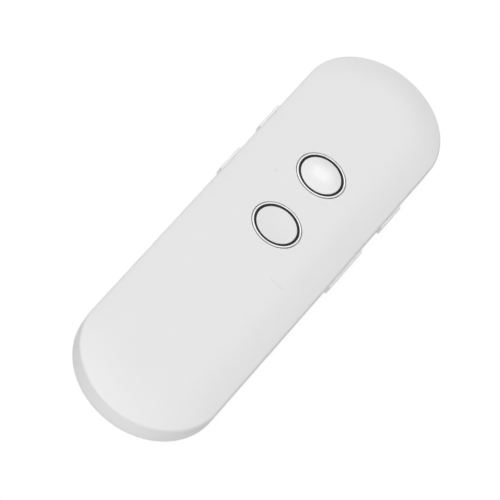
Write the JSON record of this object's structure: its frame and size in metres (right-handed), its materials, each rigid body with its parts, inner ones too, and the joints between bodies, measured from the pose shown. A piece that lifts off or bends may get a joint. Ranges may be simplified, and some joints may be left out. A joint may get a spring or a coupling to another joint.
{
  "type": "handheld translator",
  "caption": "Slim pocket translator: bar with round ends, soft crowned face, round thumb buttons in bright rings, side keys and a speaker grille in the back.",
  "frame": {"origin": "middle of the flat back, on the surface that the translator lies on", "axes": "+X across the body, +Y along it towards the end with the charging socket, +Z out of the face with the buttons"},
  "size_m": [0.0384, 0.14, 0.0087],
  "materials": {
    "casing": "fine satin texture, white",
    "upper_cap": "polished white",
    "lower_cap": "satin white",
    "side_keys": "satin white",
    "button_ring": "bright plated",
    "button_seal": "black",
    "light_guide": "milky white",
    "board": "green solder mask",
    "chip": "black moulded",
    "shield": "tinned sheet",
    "socket_shell": "drawn steel",
    "socket_tongue": "black moulded",
    "contacts": "gold plated",
    "switch_body": "black moulded",
    "switch_plunger": "white moulded",
    "battery": "foil pouch",
    "foam": "black foam",
    "speaker_frame": "black moulded",
    "magnet": "nickel plated",
    "cone": "thin film",
    "coil": "enamelled copper wire",
    "mesh": "black dust cloth",
    "sound_plug": "porous white",
    "screw": "zinc plated",
    "red_wire": "red sleeve",
    "black_wire": "black sleeve",
    "capsule": "tinned can",
    "antenna": "white ceramic block",
    "lamp": "clear resin"
  },
  "bodies": {
    "casing": {"antenna": "antenna", "battery_cell": "battery", "battery_connector": "switch_plunger", "battery_foam": "foam", "battery_lead_black": "black_wire", "battery_lead_red": "red_wire", "battery_tape": "foam", "board_screws": "screw", "cover_screws": "screw", "front_housing": "casing", "left_lower_key_switch": "switch_body", "left_upper_key_switch": "switch_body", "lower_button_ring": "button_ring", "lower_button_seal": "button_seal", "lower_switch": "switch_body", "main_board": "board", "memory_chip": "chip", "microphone": "capsule", "microphone_boot": "foam", "microphone_mesh": "sound_plug", "power_chip": "chip", "power_switch": "switch_body", "processor_chip": "chip", "radio_shield": "shield", "rear_cover": "casing", "speaker_cone": "cone", "speaker_connector": "switch_plunger", "speaker_frame": "speaker_frame", "speaker_gasket": "foam", "speaker_lead_black": "black_wire", "speaker_lead_red": "red_wire", "speaker_magnet": "magnet", "speaker_mesh": "mesh", "speaker_pad": "foam", "status_led": "lamp", "status_light_guide": "light_guide", "upper_button_ring": "button_ring", "upper_button_seal": "button_seal", "upper_switch": "switch_body", "usb_contacts": "contacts", "usb_socket": "socket_shell", "usb_tongue": "socket_tongue", "voice_coil": "coil", "volume_down_switch": "switch_body", "volume_up_switch": "switch_body"},
    "upper_button": {"upper_button": "upper_cap", "upper_switch_plunger": "switch_plunger"},
    "lower_button": {"lower_button": "lower_cap", "lower_switch_plunger": "switch_plunger"},
    "left_upper_key": {"left_upper_key": "side_keys", "left_upper_key_switch_plunger": "switch_plunger"},
    "left_lower_key": {"left_lower_key": "side_keys", "left_lower_key_switch_plunger": "switch_plunger"},
    "power_key": {"power_key": "side_keys", "power_switch_plunger": "switch_plunger"},
    "volume_rocker": {"volume_rocker": "side_keys", "volume_up_switch_plunger": "switch_plunger", "volume_down_switch_plunger": "switch_plunger"}
  },
  "joints": [
    {"name": "upper_button_press", "type": "slide", "parent": "casing", "child": "upper_button", "axis": [0, 0, -1], "range_m": [0, 0.0004], "stiffness_N_per_m": 2500, "springref_m": -0.0002},
    {"name": "lower_button_press", "type": "slide", "parent": "casing", "child": "lower_button", "axis": [0, 0, -1], "range_m": [0, 0.0004], "stiffness_N_per_m": 2500, "springref_m": -0.0002},
    {"name": "left_upper_key_press", "type": "slide", "parent": "casing", "child": "left_upper_key", "axis": [1, 0, 0], "range_m": [0, 0.00035], "stiffness_N_per_m": 3000, "springref_m": -0.00015},
    {"name": "left_lower_key_press", "type": "slide", "parent": "casing", "child": "left_lower_key", "axis": [1, 0, 0], "range_m": [0, 0.00035], "stiffness_N_per_m": 3000, "springref_m": -0.00015},
    {"name": "power_key_press", "type": "slide", "parent": "casing", "child": "power_key", "axis": [-1, 0, 0], "range_m": [0, 0.00035], "stiffness_N_per_m": 3000, "springref_m": -0.00015},
    {"name": "volume_rocker_tilt", "type": "hinge", "parent": "casing", "child": "volume_rocker", "pos_m": [0.0162, 0.0096, 0.0042], "axis": [0, 0, 1], "range_deg": [-2.5, 2.5], "stiffness_Nm_per_rad": 0.17}
  ]
}
